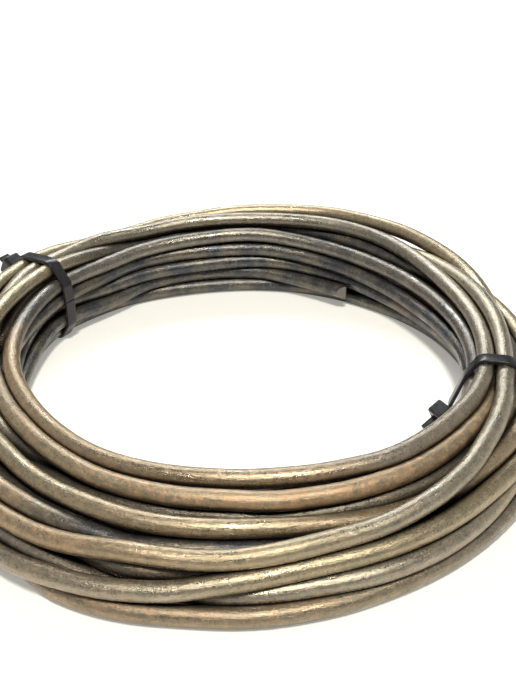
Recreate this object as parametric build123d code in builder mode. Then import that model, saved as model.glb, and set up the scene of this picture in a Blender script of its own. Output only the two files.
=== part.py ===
"""Coil of black annealed wire, held by two cable ties. Millimetres, +Z up.

The coil lies flat. The origin is on its axis, on the floor it lies on, and +X points
towards the right-hand tie. The turns are one turned solid that shows each of them as a
ridge, and the wire's two cropped ends leave it. Each tie is one moulding: strap, head
and trimmed tail.
"""
from build123d import *
from math import asin, cos, degrees, pi, radians, sin, sqrt
import os

os.makedirs("parts", exist_ok=True)

# The wire, and how its turns lie in the section: rows of turns, the lowest row first.
# A row steps in by so many wires from the lowest one.
wire_diameter = 6.0
inner_radius = 87.0
turns_in_row = (4, 4, 4, 3, 3, 2)
row_step_in = (0.0, 0.5, 1.0, 0.5, 1.0, 0.5)
turn_sides = 8
groove_depth = 2.7

# The wire's ends: where the tip lies, in which place of the section, and how the last
# stretch swings out of the turns. A bolt cropper leaves two facets and a blunt edge.
loose_ends = {
    "outer": {"angle": 76.0, "row": 2, "place": 4, "swing": 14.0, "tilt": 9.0, "winding": 1},
    "inner": {"angle": 56.0, "row": 1, "place": -1, "swing": -18.0, "tilt": -6.0, "winding": -1},
}
end_arc = 54.0
cropped_angle = 48.0
cropped_blunt = 0.4

# Cable ties: each head lies out from a turn in the direction of its lean, past some slack.
# The right-hand one hangs in the eye, twisted, and its strap is drawn out to it.
cable_ties = {
    "right": {"angle": -15.0, "turn": (2, 0), "lean": 205.0, "slack": 6.0, "twist": 30.0, "tail": 6.5},
    "left": {"angle": 144.0, "turn": (2, 3), "lean": 30.0, "slack": 0.0, "twist": 0.0, "tail": 3.5},
}
strap_width = 4.8
strap_thickness = 1.3
strap_clearance = 0.1
head_length = 8.2
head_width = 7.8
head_height = 5.6
head_corner = 1.2
head_edge = 0.7
slot_margin = 0.6
slot_depth = 1.4

wire_radius = wire_diameter / 2
turn_corner = wire_radius / cos(pi / turn_sides)
row_rise = wire_diameter * sqrt(3) / 2
strap_seat = turn_corner - wire_radius + strap_clearance
strap_lift = strap_thickness + strap_seat
least_bend = 0.01


def turn_centre(row, place, lift=0.0):
    """Radius and height of a turn. The lift is the least that it lies off the floor."""
    radius = inner_radius + wire_radius + (place - row_step_in[row]) * wire_diameter
    height = wire_radius + row * row_rise
    return (radius, max(height, wire_radius + lift))


def row_centres(row, lift=0.0):
    """Radius and height of every turn in a row."""
    return [turn_centre(row, place, lift) for place in range(turns_in_row[row])]


def turn_centres(lift=0.0):
    """Radius and height of every turn in the section."""
    return [centre for row in range(len(turns_in_row)) for centre in row_centres(row, lift)]


def hull_corners(points):
    """Corners of the convex outline of some points of the section, anticlockwise."""
    corners = []
    for backwards in (False, True):
        chain = []
        for point in sorted(points, reverse=backwards):
            while len(chain) > 1 and bend(chain[-2], chain[-1], point) < least_bend:
                chain.pop()
            chain.append(point)
        corners += chain[:-1]
    return corners


def bend(first, second, third):
    """How far the way past three points turns to the left, as the area that it sweeps."""
    run = (second[0] - first[0]) * (third[1] - first[1])
    rise = (second[1] - first[1]) * (third[0] - first[0])
    return run - rise


def outline_round(points, distance):
    """Outline drawn tight round wires or rods whose centres are some points of the section."""
    with BuildSketch(Plane.XY, mode=Mode.PRIVATE) as outline:
        Polygon(*hull_corners(points), align=None)
        offset(amount=distance)
    return outline.sketch


def section_plane(angle):
    """The section at an angle round the coil: its x is the radius, its y the height."""
    return Plane.XZ.rotated((0, 0, angle))


def end_plane(end):
    """Section of a loose end at its tip. Its origin and y are the axis the end swings round."""
    outward = Vector(1, 0, 0).rotate(Axis.Z, end["angle"])
    up = Vector(0, 0, 1)
    tilt = radians(end["tilt"])
    tip_radius, tip_height = turn_centre(end["row"], end["place"])
    arm = (tip_radius - end["swing"]) / cos(tilt)
    arm_direction = outward * cos(tilt) + up * sin(tilt)
    swing_direction = up * cos(tilt) - outward * sin(tilt)
    pivot = outward * end["swing"] + up * (tip_height - arm * sin(tilt))
    return Plane(origin=pivot, x_dir=arm_direction, z_dir=arm_direction.cross(swing_direction)), arm


def head_centre(tie, inset=0.0):
    """Radius and height of the middle of a tie head's base, or of a point set in behind it."""
    lean = radians(tie["lean"])
    reach = turn_corner + strap_clearance + tie["slack"] - inset
    radius, height = turn_centre(*tie["turn"])
    return (radius + reach * cos(lean), height + reach * sin(lean))


def head_plane(tie):
    """Plane of a tie head's base: its x runs across the strap and its z is the way it faces."""
    section = section_plane(tie["angle"])
    outward = section.x_dir.rotate(Axis((0, 0, 0), section.z_dir), tie["lean"])
    return Plane(
        origin=section.from_local_coords(head_centre(tie)),
        x_dir=section.z_dir.rotate(Axis.Z, tie["twist"]),
        z_dir=outward.rotate(Axis.Z, tie["twist"]),
    )


# Outline of the turns: ridges on a core that reaches from each row of turns to the next
with BuildSketch(Plane.XY) as loose_turns:
    for row in range(1, len(turns_in_row)):
        add(outline_round(row_centres(row - 1) + row_centres(row), wire_radius - groove_depth))
    with Locations(*turn_centres()):
        RegularPolygon(wire_radius, turn_sides, major_radius=False, rotation=180 / turn_sides)
tied_turns = outline_round(turn_centres(strap_lift), turn_corner)

tie_angles = sorted(tie["angle"] for tie in cable_ties.values())
next_angles = tie_angles[1:] + [tie_angles[0] + 360]
half_notch = degrees(asin((strap_width / 2 + strap_clearance) / inner_radius))

with BuildPart() as wire_coil:
    for angle, next_angle in zip(tie_angles, next_angles):
        with BuildSketch(section_plane(angle - half_notch)):
            add(loose_turns.sketch)
            add(tied_turns, mode=Mode.INTERSECT)
        revolve(axis=Axis.Z, revolution_arc=2 * half_notch)
        with BuildSketch(section_plane(angle + half_notch)):
            add(loose_turns.sketch)
        revolve(axis=Axis.Z, revolution_arc=next_angle - angle - 2 * half_notch)

for end in loose_ends.values():
    plane, arm = end_plane(end)
    tip = plane.origin + plane.x_dir * arm
    forward = plane.z_dir * -end["winding"]
    with BuildPart() as loose_end:
        with BuildSketch(plane):
            with Locations((arm, 0)):
                RegularPolygon(wire_radius, turn_sides, major_radius=False, rotation=180 / turn_sides)
        revolve(axis=Axis(plane.origin, plane.y_dir), revolution_arc=-end["winding"] * end_arc)
        for lean in (cropped_angle, -cropped_angle):
            facet = forward.rotate(Axis((0, 0, 0), plane.y_dir), lean)
            split(bisect_by=Plane(origin=tip, z_dir=facet), keep=Keep.BOTTOM)
        split(bisect_by=Plane(origin=tip - forward * cropped_blunt, z_dir=forward), keep=Keep.BOTTOM)
    with wire_coil:
        add(loose_end.part)

wire_coil.part.label = "wire_coil"
export_step(wire_coil.part, "parts/wire_coil.step")

for name, tie in cable_ties.items():
    with BuildPart() as cable_tie:
        held = turn_centres(strap_lift) + [head_centre(tie, strap_thickness)]
        with BuildSketch(section_plane(tie["angle"])):
            add(outline_round(held, wire_radius + strap_lift))
            add(outline_round(held, wire_radius + strap_seat), mode=Mode.SUBTRACT)
        extrude(amount=strap_width / 2, both=True)
        base = head_plane(tie)
        with BuildSketch(base) as head:
            Rectangle(head_width, head_length)
            chamfer(head.vertices(), head_corner)
        extrude(amount=head_height)
        outer_face = cable_tie.faces().sort_by(Axis(base.origin, base.z_dir))[-1]
        chamfer(outer_face.edges(), head_edge)
        with BuildSketch(base.offset(head_height)):
            Rectangle(strap_width + 2 * slot_margin, strap_thickness + 2 * slot_margin)
        extrude(amount=-slot_depth, mode=Mode.SUBTRACT)
        with BuildSketch(base.offset(head_height - slot_depth)):
            Rectangle(strap_width, strap_thickness)
        extrude(amount=slot_depth + tie["tail"])
    cable_tie.part.label = f"cable_tie_{name}"
    export_step(cable_tie.part, f"parts/cable_tie_{name}.step")
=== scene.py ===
"""Looks of a loose coil of black annealed wire, held by two cable ties.

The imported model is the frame: metres, the coil's axis on Z, the floor at z = 0 and the
right-hand tie towards +X. The coil is one wire. Its route is laid through the places
that its turns have, settled so that they lie against each other, and skinned as a tube.
"""

import functools
from math import cos, pi, radians, sin

import bmesh
import bpy
import numpy as np
from mathutils import Matrix, Vector


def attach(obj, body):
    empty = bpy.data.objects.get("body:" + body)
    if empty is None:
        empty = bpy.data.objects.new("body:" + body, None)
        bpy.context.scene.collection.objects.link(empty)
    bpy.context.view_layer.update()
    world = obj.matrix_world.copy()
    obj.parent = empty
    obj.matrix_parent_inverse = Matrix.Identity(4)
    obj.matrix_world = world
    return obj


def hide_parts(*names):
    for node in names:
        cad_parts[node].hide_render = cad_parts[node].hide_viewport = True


bl_info = {
    "name": "Annealed wire coil",
    "version": (1, 0, 0),
    "blender": (4, 5, 0),
    "location": "View3D > Sidebar > Wire coil",
    "description": "Builds a loose coil of black annealed wire and its two cable ties",
    "category": "Add Mesh",
}

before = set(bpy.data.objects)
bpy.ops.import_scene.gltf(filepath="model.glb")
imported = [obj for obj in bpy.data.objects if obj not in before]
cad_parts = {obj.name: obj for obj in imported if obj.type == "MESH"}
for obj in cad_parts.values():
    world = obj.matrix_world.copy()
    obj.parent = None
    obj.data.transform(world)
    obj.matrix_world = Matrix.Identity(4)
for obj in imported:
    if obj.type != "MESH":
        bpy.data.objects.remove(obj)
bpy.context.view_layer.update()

# The camera that took the coil: its place in wire widths, and its angles in degrees.
CAMERA_PLACE = (0.51, -46.465, 31.491)
CAMERA_DOWN = 30.58
CAMERA_TO_RIGHT = 1.0
CAMERA_ROLL = -1.18
LENS = 47.9
NEAREST_SEEN = 0.01

# How the wire is laid, in wire widths and degrees round the coil. A tied section is rows
# of turns, the lowest first: how many, the radius of the innermost, and their height.
LEFT_TIE, RIGHT_TIE = 145, 345
LEFT_ROWS = (
    (4, 14.9, 0.8), (4, 14.6, 1.6), (3, 15.1, 2.4),
    (3, 14.3, 3.15), (3, 14.4, 4.05), (3, 15.2, 4.85),
)
RIGHT_ROWS = ((5, 14.5, 0.8), (4, 14.3, 1.6), (5, 13.9, 2.45), (4, 13.9, 3.3), (2, 14.35, 4.15))

# Each turn's row and place at the left tie and at the right one, from the inner tip on
COURSE = (
    ((1, 0), (0, 0)), ((0, 0), (0, 1)), ((0, 1), (0, 2)), ((0, 2), (0, 3)), ((0, 3), (0, 4)),
    ((1, 3), (2, 4)), ((1, 2), (1, 2)), ((1, 1), (1, 1)), ((2, 1), (1, 0)), ((2, 0), (2, 0)),
    ((3, 0), (2, 1)), ((3, 1), (2, 2)), ((4, 1), (3, 2)), ((5, 0), (3, 0)), ((4, 0), (4, 0)),
    ((5, 1), (3, 1)), ((5, 2), (3, 3)), ((4, 2), (2, 3)), ((3, 2), (4, 1)), ((2, 2), (1, 3)),
)
INNER_TIP = (55, 13.9, 1.4)
OUTER_TIP = (75, 18.1, 2.3)

# Where the turns that show most are laid between the ties: angle, radius and height
LAID = {
    0: ((87, 15.1, 1.5), (117, 15.05, 1.45), (235, 12.4, 0.5), (273, 12.4, 0.5), (370, 15.05, 0.5),
        (385, 15.1, 0.5)),
    1: ((87, 15, 0.5), (117, 15.15, 0.5)),
    3: ((200, 16.4, 0.5), (235, 16, 0.5)),
    4: ((230, 16.9, 0.5), (240, 18, 0.5), (250, 17.95, 0.5), (265, 17.6, 0.5), (280, 17.45, 0.5),
        (295, 17.5, 0.5), (310, 17.6, 0.5), (321, 17.6, 0.5)),
    5: ((230, 18, 1.15), (245, 17.85, 1.35), (255, 17.55, 1.5), (265, 17, 1.65), (275, 16.75, 1.85),
        (285, 16.7, 2), (295, 16.95, 2.2), (305, 17.15, 2.35), (315, 17.05, 2.4), (322, 17.1, 2.45)),
    8: ((235, 13, 1.4), (273, 13, 1.4), (370, 14.5, 1.4), (385, 14.45, 1.4)),
    9: ((87, 15, 2.4), (117, 15, 2.3), (235, 13.3, 2.1), (273, 13.4, 2.2), (370, 14.1, 2.2),
        (385, 14.1, 2.2)),
    10: ((87, 14.95, 3.3), (117, 15, 3.1), (130, 14.75, 3)),
    11: ((87, 16, 2.9), (235, 15.25, 2.4), (273, 15.3, 1.9)),
    12: ((230, 13.8, 2.85), (250, 14, 2.8), (273, 14.2, 2.7), (295, 14.85, 2.9), (310, 15.1, 2.85)),
    13: ((117, 15.8, 3.9), (235, 13.2, 2.9), (273, 13.3, 3.1)),
    14: ((87, 14.95, 4.55), (117, 14.9, 4.15), (130, 14.8, 4), (215, 12.3, 3.9), (235, 12.45, 4),
         (255, 12.5, 4.1), (275, 12.7, 4.15), (290, 13.2, 4.2), (305, 13.85, 4.25), (320, 13.95, 4.2),
         (330, 14.2, 4.15), (415, 16.3, 5)),
    15: ((87, 15.9, 5.3), (117, 16.1, 4.85), (130, 16.4, 4.8), (205, 13.5, 3.6), (225, 13.2, 3.6),
         (245, 13.5, 3.65), (265, 13.8, 3.7), (280, 13.95, 3.7), (295, 14.45, 3.75), (310, 14.6, 3.8),
         (320, 14.7, 3.75), (330, 15.05, 3.6), (410, 17.45, 5.4), (425, 17.55, 5.5)),
    16: ((87, 17, 5.5), (105, 16.9, 5.1), (120, 16.6, 4.75), (130, 16.6, 4.75), (215, 14.65, 3.3),
         (235, 14.9, 3.27), (255, 15.05, 3.25), (270, 15.1, 3.2), (283, 15.1, 2.95),
         (290, 15.35, 2.75), (300, 15.6, 2.6), (312, 16.1, 2.7), (325, 16.5, 2.8)),
    17: ((220, 16.3, 2.9), (230, 16.15, 2.75), (240, 15.9, 2.4), (250, 15.7, 2.1)),
    18: ((230, 16.75, 2.35), (245, 16.5, 2.4), (260, 16.3, 2.5), (275, 16.35, 2.65), (285, 16.2, 2.85),
         (293, 16.25, 3.05), (300, 16.4, 3.35), (308, 16.35, 3.65), (320, 15.95, 4.05),
         (330, 15.75, 4.2)),
    19: ((230, 16.8, 1.3), (245, 16.7, 1.2), (260, 16.55, 0.95), (270, 16.8, 1), (280, 17.15, 1.15),
         (290, 17.5, 1.4), (300, 17.6, 1.45), (310, 17.5, 1.5), (320, 17.25, 1.5), (328, 17, 1.5)),
}

# How the laid turns settle: how far apart the stations are in degrees, how often the turns
# push, how stiff the wire is, how the keys, the weight and the waves act on it, and how far
# the straps under the lowest turns lift them
STATION = 5
SETTLING_ROUNDS = 500
PUSHES_PER_ROUND = 5
PUSH_SHARE = 0.7
STIFFNESS = 0.25
TIED_PULL = 0.4
LAID_PULL = 0.35
NEIGHBOUR_PULL = 0.5
WEIGHT = 0.002
TINY = 1e-6
WAVINESS = 0.2
WAVE_RATES = (1.3, 2.1, 3.7, 5.3)
WAVE_SEED = 4
WAVE_PUSH = 0.02
WAVES_END = 0.3
STRAP_ROOM = 0.24
STRAP_REACH = 7.0

# How the scale differs along the wire: from and to, as a turn's number in COURSE and the part
# of that turn from +X on, and how much of it there is. Each stretch fades out at its ends.
STRETCHES = {
    "rusty": (
        (2, 2.5, 0.5), (4.66, 4.8, 0.6), (7, 7.4, 0.5), (12.2, 12.6, 0.5), (14.5, 14.7, 0.4),
        (15.45, 15.66, 0.7), (15.66, 16.05, 1), (16.5, 16.62, 0.3), (16.6, 16.8, 0.15),
        (17.4, 17.67, 0.9), (18.5, 18.72, 0.7), (18.7, 18.8, 0.35), (19.9, 20.2, 0.6),
    ),
    "grey": (
        (0.6, 1, 0.5), (4.3, 4.66, 0.9), (4.85, 5.05, 0.6), (5.4, 5.66, 1), (5.66, 5.75, 0.5),
        (6.2, 6.7, 0.6), (8.5, 9, 0.6), (11, 11.6, 0.5), (13.85, 14.5, 0.6), (14.83, 15.3, 0.6),
        (15.2, 15.5, 0.4), (15.45, 15.6, 0.4), (18.82, 19.1, 0.5), (19.6, 19.9, 0.6),
    ),
    # The dark stretches are partly blue-black scale and partly painted shade, on turns at the back and
    # in the grooves between turns
    "dark": (
        (0, 0.5, 1), (1, 1.5, 1), (3.2, 3.7, 0.5), (4.6, 4.9, 0.3), (6.6, 6.8, 0.6), (6.9, 7.2, 0.6),
        (7.95, 8.4, 1), (9, 9.5, 1), (9.95, 10.5, 1), (10.6, 11, 1), (11.62, 11.9, 1),
        (12.62, 12.85, 0.7), (12.8, 13, 0.5), (12.95, 13.4, 1), (13.6, 13.9, 0.8), (13.95, 14.5, 0.7),
        (14.66, 14.85, 0.15), (15.1, 15.4, 0.3), (17.67, 17.95, 1), (19.3, 19.66, 0.7),
    ),
}
STRETCH_END = 0.05

# How fast the drawn-out grain and the scale's tone change along the wire, per metre
GRAIN_ALONG = 45.0
TONE_ALONG = 3.1

# How a bolt cropper leaves the wire's ends, and how near each end, in wire widths, it cuts
CROPPED_ANGLE = 48.0
CROPPED_BLUNT = 0.0004
CROPPED_WITHIN = 2.0

# The ties: where round the coil, the radius and height of a head that hangs free, which way
# the head leans and is twisted, and how long the tail is
TIES = {
    "cable_tie_right": {
        "angle": -15.0, "head": (0.0757, 0.0069), "lean": 208.0, "twist": 42.0, "tail": 0.0058},
    "cable_tie_left": {
        "angle": 144.0, "head": None, "lean": 30.0, "twist": 0.0, "tail": 0.0035},
}

# How a strap is drawn round the turns: the least bend and swing that count, how far apart its
# points are, how far it stays off the turns, and how round its edges are
STRAIGHT = 1e-9
LEAST_SWING = 1e-4
LOOP_SPACING = 0.0006
STRAP_CLEARANCE = 0.0001
STRAP_EDGE = 0.0003

# A tie's head: its chamfer, its corners from foot to top, and the slot with the tail in it
HEAD_EDGE = 0.0007
HEAD_CORNERS = (0.0012, 0.0014, 0.0013, 0.0010)
CORNER_STEPS = 3
SLOT_ROOM = 0.0012
SLOT_DEPTH = 0.0014
SLOT_CORNER = 0.0004
TAIL_CORNER = 0.00025
TAIL_MARGIN = 0.0008

# The tail's teeth: pitch, height, where in each the profile is at the top or at the bottom, and
# how far from the tip the last one may start
TOOTH_PITCH = 0.0011
TOOTH_HEIGHT = 0.00022
TOOTH_PROFILE = ((0, True), (0.55, True), (0.7, False), (0.9, False))
LAST_TOOTH = 0.0006

# The studio: how strong the light is from all round, above, behind and beside, and the lamps
ROUND_LIGHT, ABOVE_LIGHT, BEHIND_LIGHT, BESIDE_LIGHT = 0.07, 0.08, 0.3, 0.25
LAMPS = {
    "window": {
        "place": (-0.05, 0.55, 0.5), "target": (0, 0.05, 0.02), "size": (0.5, 0.22),
        "power": 3.2, "colour": (0.9, 0.95, 1)},
    "ceiling": {
        "place": (0.05, -0.52, 1.1), "target": (0, 0, 0), "size": (0.2, 0.2),
        "power": 12.5, "colour": (1, 0.96, 0.87)},
}


class WireSettings(bpy.types.PropertyGroup):
    diameter: bpy.props.FloatProperty(
        name="Diameter", description="Diameter of the wire", default=0.006, unit="LENGTH")
    sides: bpy.props.IntProperty(
        name="Sides", description="Flats round the wire's tube", default=24)
    bronze: bpy.props.FloatVectorProperty(
        name="Bronze", description="Scale where it is thin and brown", subtype="COLOR", size=4,
        default=(0.37, 0.29, 0.19, 1))
    olive: bpy.props.FloatVectorProperty(
        name="Olive", description="Scale where it is grey-green", subtype="COLOR", size=4,
        default=(0.35, 0.305, 0.205, 1))
    grey: bpy.props.FloatVectorProperty(
        name="Grey", description="Scale where it is steel-grey", subtype="COLOR", size=4,
        default=(0.31, 0.29, 0.25, 1))
    # Colour of thick scale, and of the painted shade on the dark stretches
    blue_black: bpy.props.FloatVectorProperty(
        name="Blue-black", description="Scale where it is thick", subtype="COLOR", size=4,
        default=(0.06, 0.068, 0.08, 1))
    rust: bpy.props.FloatVectorProperty(
        name="Rust", description="Light rust in the scale", subtype="COLOR", size=4,
        default=(0.46, 0.28, 0.15, 1))
    pits: bpy.props.FloatVectorProperty(
        name="Pits", description="Small dark pits in the scale", subtype="COLOR", size=4,
        default=(0.05, 0.04, 0.03, 1))
    worn: bpy.props.FloatVectorProperty(
        name="Worn", description="Specks where the scale is worn off", subtype="COLOR", size=4,
        default=(0.7, 0.62, 0.47, 1))
    # Near-black colour of the painted shade between the turns
    painted_gap_shade: bpy.props.FloatVectorProperty(
        name="Grime", description="Dirt between the turns", subtype="COLOR", size=4,
        default=(0.02, 0.016, 0.012, 1))
    cut: bpy.props.FloatVectorProperty(
        name="Cut", description="Bare steel of the cropped ends", subtype="COLOR", size=4,
        default=(0.22, 0.205, 0.185, 1))


class TieSettings(bpy.types.PropertyGroup):
    strap_width: bpy.props.FloatProperty(
        name="Strap width", description="Width of a tie's strap", default=0.0048, unit="LENGTH")
    strap_thickness: bpy.props.FloatProperty(
        name="Strap thickness", description="Thickness of a tie's strap", default=0.0013,
        unit="LENGTH")
    head_width: bpy.props.FloatProperty(
        name="Head width", description="Head across the strap", default=0.0078, unit="LENGTH")
    head_length: bpy.props.FloatProperty(
        name="Head length", description="Head along the strap", default=0.0082, unit="LENGTH")
    head_height: bpy.props.FloatProperty(
        name="Head height", description="Head out from the turns", default=0.0056, unit="LENGTH")
    nylon: bpy.props.FloatVectorProperty(
        name="Nylon", description="Colour of the ties", subtype="COLOR", size=4,
        default=(0.02, 0.02, 0.022, 1))
    scuffs: bpy.props.FloatVectorProperty(
        name="Scuffs", description="Colour of the scuffs on the ties", subtype="COLOR", size=4,
        default=(0.06, 0.06, 0.06, 1))


class StageSettings(bpy.types.PropertyGroup):
    floor_roughness: bpy.props.FloatProperty(
        name="Floor roughness", description="How dull the floor is", default=0.45)
    glow: bpy.props.FloatVectorProperty(
        name="Glow", description="Colour of the light that makes the floor look paler",
        subtype="COLOR", size=4, default=(1, 0.975, 0.9, 1))
    floor_size: bpy.props.FloatProperty(
        name="Floor size", description="Side of the square floor", default=8.0, unit="LENGTH")
    floor: bpy.props.FloatVectorProperty(
        name="Floor", description="Colour of the floor", subtype="COLOR", size=4,
        default=(0.86, 0.85, 0.82, 1))
    floor_glow: bpy.props.FloatProperty(
        name="Floor glow", description="How much paler the floor looks than it is lit",
        default=0.3)


def tied_places(rows):
    """Radius and height of each place in the rows of a tied section."""
    return {
        (row, place): (innermost + place, height)
        for row, (turns, innermost, height) in enumerate(rows)
        for place in range(turns)
    }


def route_keys():
    """Angle, radius, height and pull of each place that the wire is laid through, in order."""
    left = tied_places(LEFT_ROWS)
    right = tied_places(RIGHT_ROWS)
    keys = [(*INNER_TIP, TIED_PULL)]
    for turn, (left_place, right_place) in enumerate(COURSE):
        whole_turns = 360 * turn
        keys.append((LEFT_TIE + whole_turns, *left[left_place], TIED_PULL))
        keys.append((RIGHT_TIE + whole_turns, *right[right_place], TIED_PULL))
        for angle, radius, height in LAID.get(turn, ()):
            if angle + whole_turns > INNER_TIP[0] + 2 * STATION:
                keys.append((angle + whole_turns, radius, height, LAID_PULL))
    angle, radius, height = OUTER_TIP
    keys.append((angle + 360 * len(COURSE), radius, height, TIED_PULL))
    return np.array(sorted(keys))


def eased(keys, angles):
    """Radius and height at some angles, eased from each key to the next."""
    before = np.clip(np.searchsorted(keys[:, 0], angles, side="right") - 1, 0, len(keys) - 2)
    share = (angles - keys[before, 0]) / (keys[before + 1, 0] - keys[before, 0])
    share = (share * share * (3 - 2 * share))[:, None]
    return keys[before, 1:3] * (1 - share) + keys[before + 1, 1:3] * share


def waves(angles):
    """Slow waves of the wire, in radius and in height."""
    random = np.random.default_rng(WAVE_SEED)
    total = np.zeros((len(angles), 2))
    for rate in WAVE_RATES:
        phase = random.uniform(0, 2 * pi, 2)
        size = random.normal(0, WAVINESS / rate, 2)
        total += size * np.sin(np.radians(angles)[:, None] * rate + phase)
    return total


def lowest_height(angles):
    """Least height of a turn's centre. The ties' straps lift the turns off the floor."""
    lift = np.zeros(len(angles))
    for tie in (LEFT_TIE, RIGHT_TIE):
        off = (angles - tie + 180) % 360 - 180
        lift = np.maximum(lift, STRAP_ROOM * np.exp(-((off / STRAP_REACH) ** 2)))
    return 0.5 + lift


@functools.cache
def settled_route():
    """Stations of the wire: angle in degrees, radius and height in wire widths.

    The wire starts on its keys. Then, over and over, its stiffness smooths it, the keys
    pull it back, its weight draws it down, and turns that overlap push each other apart.
    """
    keys = route_keys()
    angles = np.arange(keys[0, 0], keys[-1, 0] + 1, STATION)
    spots = eased(keys, angles)
    goals = spots.copy()
    pulls = np.zeros(len(angles))
    for angle, radius, height, pull in sorted(keys.tolist(), key=lambda key: key[3]):
        station = round((angle - keys[0, 0]) / STATION)
        for step, share in ((0, 1), (-1, NEIGHBOUR_PULL), (1, NEIGHBOUR_PULL)):
            near = station + step
            if 0 <= near < len(angles) and pull * share > pulls[near]:
                goals[near] = (radius, height)
                pulls[near] = pull * share
    wave = waves(angles) * WAVE_PUSH * (1 - np.minimum(pulls / TIED_PULL, 1))[:, None]
    floor = lowest_height(angles)

    # The stations that share each direction from the axis, and the pairs among them
    across = 360 // STATION
    bundles = [np.flatnonzero((angles // STATION) % across == way) for way in range(across)]
    most = max(len(bundle) for bundle in bundles)
    members = np.array([
        np.pad(bundle, (0, most - len(bundle)), constant_values=-1) for bundle in bundles])
    present = members >= 0
    first, second = np.triu_indices(most, 1)
    both = present[:, first] & present[:, second]
    sign = np.zeros((most, len(first)))
    sign[first, range(len(first))] = 1
    sign[second, range(len(first))] = -1

    for turn in range(SETTLING_ROUNDS):
        spots[1:-1] += STIFFNESS * (spots[:-2] + spots[2:] - 2 * spots[1:-1])
        spots += pulls[:, None] * (goals - spots)
        left = 1 - turn / SETTLING_ROUNDS
        if left > WAVES_END:
            spots += wave * left
        spots[:, 1] -= WEIGHT
        for push in range(PUSHES_PER_ROUND):
            gap = spots[members[:, first]] - spots[members[:, second]]
            distance = np.hypot(gap[..., 0], gap[..., 1])
            overlap = np.where(both & (distance < 1), (1 - distance) / 2, 0)
            shove = gap * (overlap / np.maximum(distance, TINY))[..., None]
            moved = spots[members] + PUSH_SHARE * np.einsum("mp,npc->nmc", sign, shove)
            spots[members[present]] = moved[present]
            spots[:, 1] = np.maximum(spots[:, 1], floor)
    return [
        (angle, radius, height)
        for angle, (radius, height) in zip(angles.tolist(), spots.tolist())
    ]


def route_points(diameter):
    """Points of the wire's centre line, in metres."""
    return [
        Vector((radius * cos(radians(angle)), radius * sin(radians(angle)), height)) * diameter
        for angle, radius, height in settled_route()
    ]


def add_spline(name, points, cyclic=False):
    """Smooth curve object through the frame, with no thickness of its own."""
    curve = bpy.data.curves.new(name, "CURVE")
    curve.dimensions = "3D"
    curve.resolution_u = 2
    curve.twist_mode = "Z_UP"
    spline = curve.splines.new("NURBS")
    spline.points.add(len(points) - 1)
    for control, place in zip(spline.points, points):
        control.co = (*place, 1)
    spline.order_u = 3
    if cyclic:
        spline.use_cyclic_u = True
    else:
        spline.use_endpoint_u = True
    obj = bpy.data.objects.new(name, curve)
    bpy.context.scene.collection.objects.link(obj)
    return obj


def evaluated_mesh(obj):
    """New mesh of an object as it looks with its modifiers."""
    bpy.context.view_layer.update()
    return bpy.data.meshes.new_from_object(
        obj.evaluated_get(bpy.context.evaluated_depsgraph_get()))


def curve_line(curve):
    """Points that a curve object runs through."""
    line = evaluated_mesh(curve)
    points = [vertex.co.copy() for vertex in line.vertices]
    bpy.data.meshes.remove(line)
    return points


def new_tree(name, kind, inputs, outputs):
    """Node tree with named sockets. Returns the tree and its input and output nodes."""
    tree = bpy.data.node_groups.new(name, kind)
    for label, socket, value in inputs:
        made = tree.interface.new_socket(name=label, in_out="INPUT", socket_type=socket)
        if value is not None:
            made.default_value = value
    for label, socket in outputs:
        tree.interface.new_socket(name=label, in_out="OUTPUT", socket_type=socket)
    return tree, tree.nodes.new("NodeGroupInput"), tree.nodes.new("NodeGroupOutput")


def node(tree, kind, values=None, **settings):
    """Node with some settings and input values. A value may be a socket to link from."""
    made = tree.nodes.new(kind)
    for name, value in settings.items():
        setattr(made, name, value)
    for socket, value in (values or {}).items():
        if isinstance(value, bpy.types.NodeSocket):
            tree.links.new(value, made.inputs[socket])
        else:
            made.inputs[socket].default_value = value
    return made


def set_inputs(modifier, tree, values):
    """Set a Geometry Nodes modifier's inputs by the names of its tree's sockets."""
    for item in tree.interface.items_tree:
        if item.item_type == "SOCKET" and item.in_out == "INPUT" and item.name in values:
            modifier[item.identifier] = values[item.name]


def grown_mesh(name, tree, values):
    """Plain mesh object from a Geometry Nodes tree."""
    obj = bpy.data.objects.new(name, bpy.data.meshes.new(name + "_seed"))
    bpy.context.scene.collection.objects.link(obj)
    modifier = obj.modifiers.new("grow", "NODES")
    modifier.node_group = tree
    set_inputs(modifier, tree, values)
    mesh = evaluated_mesh(obj)
    obj.modifiers.clear()
    obj.data = mesh
    mesh.name = name
    return obj


def end_tree(tree, given, result, shaped):
    """End of a Geometry Nodes tree: smooth shading, real geometry and its material."""
    smooth = node(tree, "GeometryNodeSetShadeSmooth", {"Geometry": shaped.outputs[0]})
    real = node(tree, "GeometryNodeRealizeInstances", {"Geometry": smooth.outputs[0]})
    finished = node(
        tree, "GeometryNodeSetMaterial",
        {"Geometry": real.outputs[0], "Material": given.outputs["Material"]})
    tree.links.new(finished.outputs[0], result.inputs[0])


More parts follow.
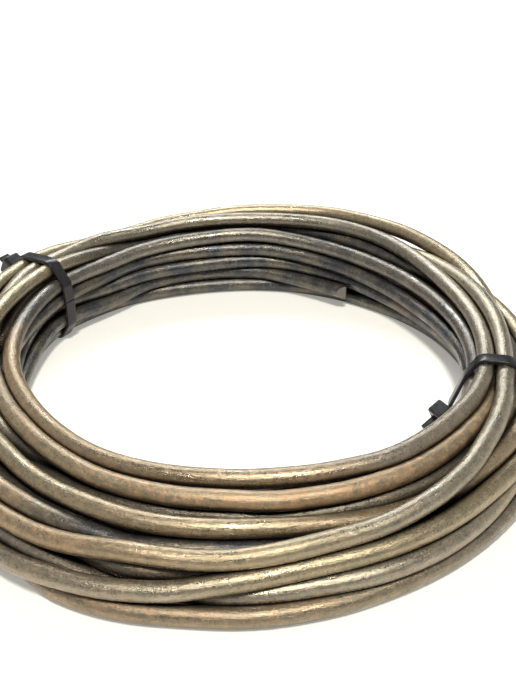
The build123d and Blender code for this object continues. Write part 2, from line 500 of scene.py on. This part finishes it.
def wire_tree():
    """Geometry Nodes: a round wire along a route, with where each point lies on it."""
    tree, given, result = new_tree(
        "drawn_wire", "GeometryNodeTree",
        [("Route", "NodeSocketObject", None), ("Diameter", "NodeSocketFloat", 0.006),
         ("Sides", "NodeSocketInt", 24), ("Material", "NodeSocketMaterial", None)],
        [("Geometry", "NodeSocketGeometry")])
    route = node(tree, "GeometryNodeObjectInfo", {"Object": given.outputs["Route"]})
    measure = node(tree, "GeometryNodeSplineParameter")
    marked = node(
        tree, "GeometryNodeStoreNamedAttribute",
        {"Geometry": route.outputs["Geometry"], "Name": "along",
         "Value": measure.outputs["Length"]},
        data_type="FLOAT", domain="POINT")
    radius = node(
        tree, "ShaderNodeMath", {0: given.outputs["Diameter"], 1: 0.5}, operation="MULTIPLY")
    ring = node(
        tree, "GeometryNodeCurvePrimitiveCircle",
        {"Resolution": given.outputs["Sides"], "Radius": radius.outputs[0]})
    place = node(tree, "GeometryNodeInputPosition")
    facing = node(tree, "ShaderNodeVectorMath", {0: place.outputs[0]}, operation="NORMALIZE")
    profile = node(
        tree, "GeometryNodeStoreNamedAttribute",
        {"Geometry": ring.outputs[0], "Name": "around", "Value": facing.outputs[0]},
        data_type="FLOAT_VECTOR", domain="POINT")
    tube = node(
        tree, "GeometryNodeCurveToMesh",
        {"Curve": marked.outputs[0], "Profile Curve": profile.outputs[0], "Fill Caps": True})
    along = node(tree, "GeometryNodeInputNamedAttribute", {"Name": "along"}, data_type="FLOAT")
    around = node(
        tree, "GeometryNodeInputNamedAttribute", {"Name": "around"}, data_type="FLOAT_VECTOR")
    parts = node(tree, "ShaderNodeSeparateXYZ", {0: around.outputs["Attribute"]})
    drawn = node(
        tree, "ShaderNodeCombineXYZ",
        {0: parts.outputs[0], 1: parts.outputs[1], 2: along.outputs["Attribute"]})
    stored = node(
        tree, "GeometryNodeStoreNamedAttribute",
        {"Geometry": tube.outputs[0], "Name": "drawn", "Value": drawn.outputs[0]},
        data_type="FLOAT_VECTOR", domain="POINT")
    end_tree(tree, given, result, stored)
    return tree


def strap_tree():
    """Geometry Nodes: a flat strap with rounded edges along a loop."""
    tree, given, result = new_tree(
        "moulded_strap", "GeometryNodeTree",
        [("Loop", "NodeSocketObject", None), ("Width", "NodeSocketFloat", 0.0048),
         ("Thickness", "NodeSocketFloat", 0.0013), ("Edge Radius", "NodeSocketFloat", 0.0003),
         ("Material", "NodeSocketMaterial", None)],
        [("Geometry", "NodeSocketGeometry")])
    loop = node(tree, "GeometryNodeObjectInfo", {"Object": given.outputs["Loop"]})
    section = node(
        tree, "GeometryNodeCurvePrimitiveQuadrilateral",
        {"Width": given.outputs["Width"], "Height": given.outputs["Thickness"]})
    rounded = node(
        tree, "GeometryNodeFilletCurve",
        {"Curve": section.outputs[0], "Radius": given.outputs["Edge Radius"], "Count": 3},
        mode="POLY")
    strap = node(
        tree, "GeometryNodeCurveToMesh",
        {"Curve": loop.outputs["Geometry"], "Profile Curve": rounded.outputs[0]})
    end_tree(tree, given, result, strap)
    return tree


@functools.cache
def surface_grain():
    """Shader group: fine noise stretched along a direction, and mottling that isn't."""
    tree, given, result = new_tree(
        "surface_grain", "ShaderNodeTree",
        [("Vector", "NodeSocketVector", None), ("Grain Scale", "NodeSocketFloat", 1.0),
         ("Mottle Scale", "NodeSocketFloat", 1.0), ("Contrast", "NodeSocketFloat", 1.0)],
        [("Grain", "NodeSocketFloat"), ("Mottle", "NodeSocketFloat")])
    texture = node(tree, "ShaderNodeTexCoord")
    grain = node(
        tree, "ShaderNodeTexNoise",
        {"Vector": given.outputs["Vector"], "Scale": given.outputs["Grain Scale"], "Detail": 5.0,
         "Roughness": 0.6})
    mottle = node(
        tree, "ShaderNodeTexNoise",
        {"Vector": texture.outputs["Object"], "Scale": given.outputs["Mottle Scale"], "Detail": 4.0,
         "Roughness": 0.62})
    for source, target in ((grain, "Grain"), (mottle, "Mottle")):
        centred = node(
            tree, "ShaderNodeMath", {0: source.outputs["Fac"], 1: 0.5}, operation="SUBTRACT")
        widened = node(
            tree, "ShaderNodeMath",
            {0: centred.outputs[0], 1: given.outputs["Contrast"], 2: 0.5}, operation="MULTIPLY_ADD",
            use_clamp=True)
        tree.links.new(widened.outputs[0], result.inputs[target])
    return tree


def ramp(tree, value, low, high):
    """Mask that rises from 0 to 1 while a value goes from low to high."""
    made = node(
        tree, "ShaderNodeMapRange", {"Value": value, "From Min": low, "From Max": high},
        interpolation_type="SMOOTHSTEP")
    return made.outputs["Result"]


def blend(tree, share, first, second):
    """Colour mixed from a first and a second one by a mask."""
    made = node(tree, "ShaderNodeMix", data_type="RGBA")
    for socket, value in ((0, share), (6, first), (7, second)):
        if isinstance(value, bpy.types.NodeSocket):
            tree.links.new(value, made.inputs[socket])
        else:
            made.inputs[socket].default_value = value
    return made.outputs[2]


def calc(tree, operation, first, second=0.0, third=0.0):
    """Value that a Math node works out."""
    made = node(tree, "ShaderNodeMath", {0: first, 1: second, 2: third}, operation=operation)
    return made.outputs[0]


def new_material(name):
    """Material, its node tree and the tree's Principled BSDF."""
    material = bpy.data.materials.new(name)
    material.use_nodes = True
    tree = material.node_tree
    return material, tree, tree.nodes["Principled BSDF"]


def wire_material(settings, grain):
    """Annealed scale: bronze, olive and grey, blue-black in places, rust and rubbed glints, with
    painted shade on some dark stretches and between the turns.
    """
    material, tree, shader = new_material("annealed_wire")
    drawn = node(tree, "ShaderNodeAttribute", attribute_name="drawn", attribute_type="GEOMETRY")
    parts = node(tree, "ShaderNodeSeparateXYZ", {0: drawn.outputs["Vector"]})
    along = parts.outputs[2]

    # Round the wire in wire radii, and along it much slower, so noise is drawn out into lines
    lines = node(
        tree, "ShaderNodeCombineXYZ",
        {0: parts.outputs[0], 1: parts.outputs[1], 2: calc(tree, "MULTIPLY", along, GRAIN_ALONG)})
    streaks, patches, specks = (
        node(
            tree, "ShaderNodeGroup",
            {"Vector": lines.outputs[0], "Grain Scale": across, "Mottle Scale": all_ways,
             "Contrast": contrast},
            node_tree=grain)
        for across, all_ways, contrast in ((3.0, 420.0, 2.0), (1.1, 90.0, 2.2), (7.0, 1500.0, 2.2)))
    grain_line, mottle = streaks.outputs["Grain"], streaks.outputs["Mottle"]
    band, patch = patches.outputs["Grain"], patches.outputs["Mottle"]
    fine_line, speck = specks.outputs["Grain"], specks.outputs["Mottle"]

    # Each stretch of wire has its own tone, so neighbouring turns differ. The dark stretches take the
    # colour towards blue-black: partly scale and partly painted shade
    rusty, greyed, darkened = (
        node(
            tree, "ShaderNodeAttribute", attribute_name=name, attribute_type="GEOMETRY").outputs["Fac"]
        for name in STRETCHES)
    tone = node(
        tree, "ShaderNodeTexNoise",
        {"W": calc(tree, "MULTIPLY", along, TONE_ALONG), "Scale": 1.0, "Detail": 2.0},
        noise_dimensions="1D").outputs["Fac"]
    colour = blend(tree, ramp(tree, tone, 0.35, 0.65), settings.bronze, settings.olive)
    colour = blend(tree, greyed, colour, settings.grey)
    tint = calc(tree, "MULTIPLY_ADD", rusty, 0.55, 0.12)
    tint = calc(tree, "MULTIPLY", ramp(tree, mottle, 0.4, 0.75), tint)
    colour = blend(tree, tint, colour, settings.rust)
    dark = calc(tree, "MULTIPLY_ADD", ramp(tree, patch, 0.8, 0.2), 0.3, 0.65)
    dark = calc(tree, "MULTIPLY", darkened, dark)
    colour = blend(tree, dark, colour, settings.blue_black)

    # Its brightness goes up and down with every size of grain
    shade = 0.45
    for detail, strength in ((grain_line, 0.25), (mottle, 0.4), (speck, 0.45), (fine_line, 0.15)):
        shade = calc(tree, "MULTIPLY_ADD", detail, strength, shade)
    colour = node(
        tree, "ShaderNodeVectorMath", {0: colour, "Scale": shade}, operation="SCALE").outputs[0]

    # Small rust marks, pits and worn specks
    rust = calc(tree, "MULTIPLY", ramp(tree, patch, 0.35, 0.8), ramp(tree, speck, 0.45, 0.75))
    rust = calc(tree, "MULTIPLY", rust, calc(tree, "MULTIPLY_ADD", rusty, 0.6, 0.4))
    rust = calc(tree, "MULTIPLY", rust, calc(tree, "SUBTRACT", 1.0, dark))
    colour = blend(tree, calc(tree, "MULTIPLY", rust, 0.7), colour, settings.rust)
    pits = calc(tree, "MULTIPLY", ramp(tree, speck, 0.22, 0.05), ramp(tree, mottle, 0.5, 0.25))
    colour = blend(tree, calc(tree, "MULTIPLY", pits, 0.4), colour, settings.pits)
    worn = calc(tree, "MULTIPLY", ramp(tree, speck, 0.7, 0.95), ramp(tree, mottle, 0.35, 0.65))
    colour = blend(tree, calc(tree, "MULTIPLY", worn, 0.4), colour, settings.worn)

    # Painted shade: the colour goes towards near black where turns lie close against each other, and
    # the cropped ends are bare
    open_sides = node(
        tree, "ShaderNodeAmbientOcclusion", {"Distance": settings.diameter}, samples=8)
    painted_gap_shade = ramp(tree, open_sides.outputs["AO"], 0.68, 0.18)
    colour = blend(tree, calc(tree, "MULTIPLY", painted_gap_shade, 0.88), colour, settings.painted_gap_shade)
    cropped = node(tree, "ShaderNodeAttribute", attribute_name="cropped", attribute_type="GEOMETRY")
    cut = calc(
        tree, "MULTIPLY", cropped.outputs["Fac"], calc(tree, "MULTIPLY_ADD", speck, 0.5, 0.4))
    colour = blend(tree, cut, colour, settings.cut)
    tree.links.new(colour, shader.inputs["Base Color"])

    # Rubbed lines are smooth and shine as if polished, and rust is rougher than the scale
    rubbed = calc(tree, "MULTIPLY", ramp(tree, band, 0.52, 0.75), ramp(tree, grain_line, 0.35, 0.7))
    rough = calc(tree, "MULTIPLY_ADD", speck, 0.16, 0.24)
    rough = calc(tree, "MULTIPLY_ADD", rusty, 0.12, rough)
    rough = calc(tree, "MULTIPLY_ADD", rubbed, -0.16, rough)
    tree.links.new(rough, shader.inputs["Roughness"])
    rusted = calc(tree, "MAXIMUM", rust, tint)
    metal = calc(tree, "SUBTRACT", 0.75, calc(tree, "MULTIPLY", rusted, 0.4))
    tree.links.new(metal, shader.inputs["Metallic"])
    tree.links.new(calc(tree, "MULTIPLY", rubbed, 0.8), shader.inputs["Coat Weight"])
    shader.inputs["Coat Roughness"].default_value = 0.12

    height = calc(tree, "MULTIPLY_ADD", mottle, 0.4, calc(tree, "MULTIPLY", fine_line, 0.4))
    height = calc(tree, "MULTIPLY_ADD", speck, 0.4, height)
    bump = node(tree, "ShaderNodeBump", {"Height": height, "Strength": 0.7, "Distance": 0.0002})
    tree.links.new(bump.outputs[0], shader.inputs["Normal"])
    return material


def nylon_material(settings, grain):
    """Black moulded nylon with a faint grain and scuffs."""
    material, tree, shader = new_material("tie_nylon")
    place = node(tree, "ShaderNodeTexCoord").outputs["Object"]
    scuffs = node(
        tree, "ShaderNodeGroup",
        {"Vector": place, "Grain Scale": 900.0, "Mottle Scale": 260.0, "Contrast": 1.5},
        node_tree=grain)
    worn = ramp(tree, scuffs.outputs["Mottle"], 0.6, 0.9)
    colour = blend(tree, calc(tree, "MULTIPLY", worn, 0.5), settings.nylon, settings.scuffs)
    tree.links.new(colour, shader.inputs["Base Color"])
    rough = calc(tree, "MULTIPLY_ADD", scuffs.outputs["Mottle"], 0.14, 0.2)
    tree.links.new(rough, shader.inputs["Roughness"])
    shader.inputs["Specular IOR Level"].default_value = 0.4
    bump = node(
        tree, "ShaderNodeBump",
        {"Height": scuffs.outputs["Grain"], "Strength": 0.15, "Distance": 0.0001})
    tree.links.new(bump.outputs[0], shader.inputs["Normal"])
    return material


def crop_tip(mesh, tip, forward, near):
    """Cut a wire's end as a bolt cropper does: two facets that meet in a blunt edge."""
    shape = bmesh.new()
    shape.from_mesh(mesh)
    drawn = shape.verts.layers.float_vector["drawn"]
    marks = shape.faces.layers.float
    cropped = marks.get("cropped") or marks.new("cropped")
    upright = Vector((0, 0, 1))
    planes = [
        (tip, Matrix.Rotation(radians(lean), 3, upright) @ forward)
        for lean in (CROPPED_ANGLE, -CROPPED_ANGLE)
    ]
    planes.append((tip - forward * CROPPED_BLUNT, forward))
    for place, facing in planes:
        faces = [
            face for face in shape.faces if all(near(vertex[drawn].z) for vertex in face.verts)]
        edges = {edge for face in faces for edge in face.edges}
        corners = {vertex for face in faces for vertex in face.verts}
        cut = bmesh.ops.bisect_plane(
            shape, geom=[*faces, *edges, *corners], plane_co=place, plane_no=facing,
            clear_outer=True)
        rim = [part for part in cut["geom_cut"] if isinstance(part, bmesh.types.BMEdge)]
        filled = bmesh.ops.edgeloop_fill(shape, edges=rim)
        for face in filled["faces"]:
            face[cropped] = 1
            face.smooth = False
            for edge in face.edges:
                edge.smooth = False
    shape.to_mesh(mesh)
    shape.free()


def mark_stretches(mesh, length):
    """Mark on the mesh how much of each kind of scale, and of painted shade, it has along the wire."""
    stations = settled_route()
    points = np.array(route_points(1.0))
    passed = np.concatenate([[0], np.cumsum(np.linalg.norm(np.diff(points, axis=0), axis=1))])
    drawn = np.zeros(len(mesh.vertices) * 3)
    mesh.attributes["drawn"].data.foreach_get("vector", drawn)
    share = drawn[2::3] / length
    turned = [angle / 360 for angle, radius, height in stations]
    turns = np.interp(share, passed / passed[-1], turned)
    for name, stretches in STRETCHES.items():
        amount = np.zeros(len(turns))
        for start, stop, most in stretches:
            inside = np.clip(np.minimum(turns - start, stop - turns) / STRETCH_END + 0.5, 0, 1)
            amount = np.maximum(amount, most * inside)
        mesh.attributes.new(name, "FLOAT", "POINT").data.foreach_set("value", amount)


class COIL_OT_wire(bpy.types.Operator):
    """Lay, settle and skin the wire, and crop its two ends"""
    bl_idname = "coil.wire"
    bl_label = "Wire"

    def execute(self, context):
        settings = context.scene.coil_wire
        route = add_spline("wire_route", route_points(settings.diameter))
        line = curve_line(route)
        material = wire_material(settings, surface_grain())
        wire = grown_mesh("annealed_wire_coil", wire_tree(), {
            "Route": route, "Diameter": settings.diameter, "Sides": settings.sides,
            "Material": material})
        length = sum((after - before).length for before, after in zip(line, line[1:]))
        reach = CROPPED_WITHIN * settings.diameter
        inner_way = (line[0] - line[1]).normalized()
        outer_way = (line[-1] - line[-2]).normalized()
        crop_tip(wire.data, line[0], inner_way, lambda at: at < reach)
        crop_tip(wire.data, line[-1], outer_way, lambda at: at > length - reach)
        mark_stretches(wire.data, length)
        bpy.data.objects.remove(route)
        if not wire.data.polygons:
            raise RuntimeError("the wire has no faces")
        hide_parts("wire_coil")
        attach(wire, "root")
        return {"FINISHED"}


def crossings(angle, diameter):
    """Radius and height, in metres, of each turn where it passes under a tie."""
    stations = np.array(settled_route())
    found = []
    turn = 0
    while True:
        at = angle % 360 + 360 * turn
        turn += 1
        if at < stations[0, 0]:
            continue
        if at > stations[-1, 0]:
            return found
        radius = np.interp(at, stations[:, 0], stations[:, 1])
        height = np.interp(at, stations[:, 0], stations[:, 2])
        found.append((radius * diameter, height * diameter))


def hull(points):
    """Corners of the convex outline of some points, anticlockwise."""
    corners = []
    for backwards in (False, True):
        chain = []
        for point in sorted(points, reverse=backwards):
            while len(chain) > 1 and bend(chain[-2], chain[-1], point) < STRAIGHT:
                chain.pop()
            chain.append(point)
        corners += chain[:-1]
    return [Vector(corner) for corner in corners]


def bend(first, second, third):
    """How far the way past three points turns to the left."""
    return ((second[0] - first[0]) * (third[1] - first[1])
            - (second[1] - first[1]) * (third[0] - first[0]))


def wrapped(points, distance):
    """Points of a loop drawn tight round rods of some radius at some points."""
    corners = hull(points)
    loop = []
    for before, corner, after in zip(corners[-1:] + corners, corners, corners[1:] + corners[:1]):
        start = (corner - before).normalized()
        start = Vector((start.y, -start.x))
        stop = (after - corner).normalized()
        stop = Vector((stop.y, -stop.x))
        swing = start.angle(stop)
        steps = max(1, round(swing * distance / LOOP_SPACING))
        for step in range(steps + 1):
            way = start.slerp(stop, step / steps) if swing > LEAST_SWING else start
            loop.append(corner + way * distance)
        run = (after - corner).length
        pieces = max(1, round(run / (4 * LOOP_SPACING)))
        for piece in range(1, pieces):
            loop.append((corner + (after - corner) * piece / pieces) + stop * distance)
    return loop


def section_frame(angle):
    """Outward and sideways directions of the section at an angle round the coil."""
    turn = radians(angle)
    return Vector((cos(turn), sin(turn), 0)), Vector((-sin(turn), cos(turn), 0))


def rounded_ring(width, length, corner, height):
    """Ring of points: a rectangle with rounded corners, across the strap and along it."""
    ring = []
    for side_x, side_y, start in ((1, 1, 0), (-1, 1, 90), (-1, -1, 180), (1, -1, 270)):
        for step in range(CORNER_STEPS + 1):
            turn = radians(start + 90 / CORNER_STEPS * step)
            ring.append(Vector((
                side_x * (width / 2 - corner) + corner * cos(turn),
                side_y * (length / 2 - corner) + corner * sin(turn),
                height)))
    return ring


def skinned(shape, rings):
    """Close a row of rings with faces between them and a cap on each end."""
    made = [[shape.verts.new(place) for place in ring] for ring in rings]
    for below, above in zip(made, made[1:]):
        for corner in range(len(below)):
            after = (corner + 1) % len(below)
            shape.faces.new((below[corner], below[after], above[after], above[corner]))
    shape.faces.new(made[0][::-1])
    shape.faces.new(made[-1])


def head_shape(shape, settings, tail):
    """Head with its slot, and the trimmed tail that comes out of it, with its teeth."""
    width, length, height = settings.head_width, settings.head_length, settings.head_height
    thick, strap = settings.strap_thickness, settings.strap_width
    edge = HEAD_EDGE
    foot, side, bevel, top = HEAD_CORNERS
    skinned(shape, [
        rounded_ring(width - edge, length - edge, foot, 0),
        rounded_ring(width, length, side, edge / 2),
        rounded_ring(width, length, side, height - edge),
        rounded_ring(width - 0.6 * edge, length - 0.6 * edge, bevel, height - 0.3 * edge),
        rounded_ring(width - 2 * edge, length - 2 * edge, top, height),
        rounded_ring(strap + SLOT_ROOM, thick + SLOT_ROOM, SLOT_CORNER, height),
        rounded_ring(strap + SLOT_ROOM, thick + SLOT_ROOM, SLOT_CORNER, height - SLOT_DEPTH),
    ])
    tail_rings = []
    at = height - SLOT_DEPTH
    while at < height + tail - LAST_TOOTH:
        for step, at_top in TOOTH_PROFILE:
            ring = rounded_ring(strap, thick, TAIL_CORNER, at + step * TOOTH_PITCH)
            for point in ring:
                if not at_top and point.y > 0 and abs(point.x) < strap / 2 - TAIL_MARGIN:
                    point.y -= TOOTH_HEIGHT
            tail_rings.append(ring)
        at += TOOTH_PITCH
    skinned(shape, tail_rings)


class COIL_OT_ties(bpy.types.Operator):
    """Draw each cable tie's strap round the turns, and add its head and tail"""
    bl_idname = "coil.ties"
    bl_label = "Cable ties"

    def execute(self, context):
        settings = context.scene.coil_ties
        diameter = context.scene.coil_wire.diameter
        material = nylon_material(settings, surface_grain())
        strap_nodes = strap_tree()
        for name, tie in TIES.items():
            outward, sideways = section_frame(tie["angle"])
            upward = Vector((0, 0, 1))
            lean = radians(tie["lean"])
            lean_way = Vector((cos(lean), sin(lean)))
            turns = crossings(tie["angle"], diameter)
            seat = diameter / 2 + settings.strap_thickness / 2 + STRAP_CLEARANCE
            if tie["head"]:
                head = Vector(tie["head"])
            else:
                reach = max(Vector(turn).dot(lean_way) for turn in turns)
                middle = sum((Vector(turn) for turn in turns), Vector((0, 0))) / len(turns)
                reach += seat + settings.strap_thickness / 2
                head = middle + lean_way * (reach - middle.dot(lean_way))
            held = turns + [tuple(head - lean_way * (seat + settings.strap_thickness / 2))]
            loop = [outward * point.x + upward * point.y for point in wrapped(held, seat)]
            path = add_spline(name + "_loop", loop, cyclic=True)
            strap = grown_mesh(name + "_nylon", strap_nodes, {
                "Loop": path, "Width": settings.strap_width, "Thickness": settings.strap_thickness,
                "Edge Radius": STRAP_EDGE, "Material": material})
            bpy.data.objects.remove(path)
            twist = Matrix.Rotation(radians(tie["twist"]), 3, upward)
            facing = twist @ (outward * lean_way.x + upward * lean_way.y)
            across = twist @ sideways
            place = Matrix((across, facing.cross(across), facing)).transposed().to_4x4()
            place.translation = outward * head.x + upward * head.y
            shape = bmesh.new()
            head_shape(shape, settings, tie["tail"])
            bmesh.ops.transform(shape, matrix=place, verts=shape.verts)
            bmesh.ops.recalc_face_normals(shape, faces=shape.faces)
            shape.from_mesh(strap.data)
            shape.to_mesh(strap.data)
            shape.free()
            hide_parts(name)
            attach(strap, "root")
        return {"FINISHED"}


def add_lamp(name, place, target, size, power, colour):
    """Soft rectangular lamp that faces a target."""
    lamp = bpy.data.lights.new(name, "AREA")
    lamp.shape = "RECTANGLE"
    lamp.size, lamp.size_y = size
    lamp.energy = power
    lamp.color = colour
    obj = bpy.data.objects.new(name, lamp)
    obj.location = place
    obj.rotation_euler = (Vector(target) - Vector(place)).to_track_quat("-Z", "Y").to_euler()
    bpy.context.scene.collection.objects.link(obj)


class COIL_OT_stage(bpy.types.Operator):
    """Set the camera where the coil was seen from, the pale floor and the soft lamps"""
    bl_idname = "coil.stage"
    bl_label = "Stage"

    def execute(self, context):
        settings = context.scene.coil_stage
        width = context.scene.coil_wire.diameter
        camera_data = bpy.data.cameras.new("camera")
        camera_data.lens = LENS
        camera_data.clip_start = NEAREST_SEEN
        camera = bpy.data.objects.new("camera", camera_data)
        turn = (Matrix.Rotation(-radians(CAMERA_TO_RIGHT), 4, "Z")
                @ Matrix.Rotation(radians(90 - CAMERA_DOWN), 4, "X")
                @ Matrix.Rotation(radians(CAMERA_ROLL), 4, "Z"))
        camera.matrix_world = Matrix.Translation(Vector(CAMERA_PLACE) * width) @ turn
        context.scene.collection.objects.link(camera)
        context.scene.camera = camera

        floor_mesh = bpy.data.meshes.new("floor")
        half = settings.floor_size / 2
        corners = [(-half, -half, 0), (half, -half, 0), (half, half, 0), (-half, half, 0)]
        floor_mesh.from_pydata(corners, [], [(0, 1, 2, 3)])
        floor = bpy.data.objects.new("floor", floor_mesh)
        context.scene.collection.objects.link(floor)
        material, tree, shader = new_material("pale_floor")
        floor_mesh.materials.append(material)
        shader.inputs["Base Color"].default_value = settings.floor
        shader.inputs["Roughness"].default_value = settings.floor_roughness
        paths = node(tree, "ShaderNodeLightPath")
        seen = calc(tree, "MAXIMUM", paths.outputs["Is Camera Ray"], paths.outputs["Is Glossy Ray"])
        place = node(tree, "ShaderNodeTexCoord").outputs["Object"]
        distance = node(tree, "ShaderNodeVectorMath", {0: place}, operation="LENGTH").outputs["Value"]
        far = calc(tree, "MULTIPLY", paths.outputs["Is Camera Ray"], ramp(tree, distance, 0.3, 1.0))
        strength = calc(tree, "MULTIPLY_ADD", seen, settings.floor_glow, far)
        glow = node(tree, "ShaderNodeEmission", {"Color": settings.glow, "Strength": strength})
        added = node(tree, "ShaderNodeAddShader", {0: shader.outputs[0], 1: glow.outputs[0]})
        tree.links.new(added.outputs[0], tree.nodes["Material Output"].inputs["Surface"])

        world = bpy.data.worlds.new("studio")
        context.scene.world = world
        world.use_nodes = True
        tree = world.node_tree
        background = tree.nodes["Background"]
        paths = node(tree, "ShaderNodeLightPath")
        direction = node(tree, "ShaderNodeTexCoord").outputs["Generated"]
        parts = node(tree, "ShaderNodeSeparateXYZ", {0: direction})
        above = ramp(tree, parts.outputs[2], -0.1, 0.9)
        near_floor = ramp(tree, parts.outputs[2], 0.35, 0.0)
        behind = ramp(tree, parts.outputs[1], -0.2, 0.7)
        behind = calc(tree, "MULTIPLY", near_floor, behind)
        beside = ramp(tree, calc(tree, "ABSOLUTE", parts.outputs[0]), 0.45, 0.85)
        light = calc(tree, "MULTIPLY_ADD", above, ABOVE_LIGHT, ROUND_LIGHT)
        light = calc(tree, "MULTIPLY_ADD", behind, BEHIND_LIGHT, light)
        light = calc(tree, "MULTIPLY_ADD", beside, BESIDE_LIGHT, light)
        strength = calc(tree, "MAXIMUM", light, paths.outputs["Is Camera Ray"])
        tree.links.new(strength, background.inputs["Strength"])
        background.inputs["Color"].default_value = (1, 1, 1, 1)

        for name, lamp in LAMPS.items():
            add_lamp(name, **lamp)
        context.scene.view_settings.view_transform = "Standard"
        return {"FINISHED"}


class COIL_PT_panel(bpy.types.Panel):
    """Sizes, colours and building steps of the coil"""
    bl_label = "Wire coil"
    bl_idname = "COIL_PT_panel"
    bl_space_type = "VIEW_3D"
    bl_region_type = "UI"
    bl_category = "Wire coil"

    def draw(self, context):
        for kind in ("stage", "wire", "ties"):
            settings = getattr(context.scene, "coil_" + kind)
            box = self.layout.box()
            for name in settings.__annotations__:
                box.prop(settings, name)
            box.operator("coil." + kind)


CLASSES = (
    WireSettings, TieSettings, StageSettings,
    COIL_OT_wire, COIL_OT_ties, COIL_OT_stage, COIL_PT_panel,
)


def register():
    for made in CLASSES:
        bpy.utils.register_class(made)
    bpy.types.Scene.coil_wire = bpy.props.PointerProperty(type=WireSettings)
    bpy.types.Scene.coil_ties = bpy.props.PointerProperty(type=TieSettings)
    bpy.types.Scene.coil_stage = bpy.props.PointerProperty(type=StageSettings)


def unregister():
    del bpy.types.Scene.coil_wire
    del bpy.types.Scene.coil_ties
    del bpy.types.Scene.coil_stage
    for made in reversed(CLASSES):
        bpy.utils.unregister_class(made)


def main():
    register()
    bpy.ops.coil.stage()
    bpy.ops.coil.wire()
    bpy.ops.coil.ties()


if __name__ == "__main__":
    main()
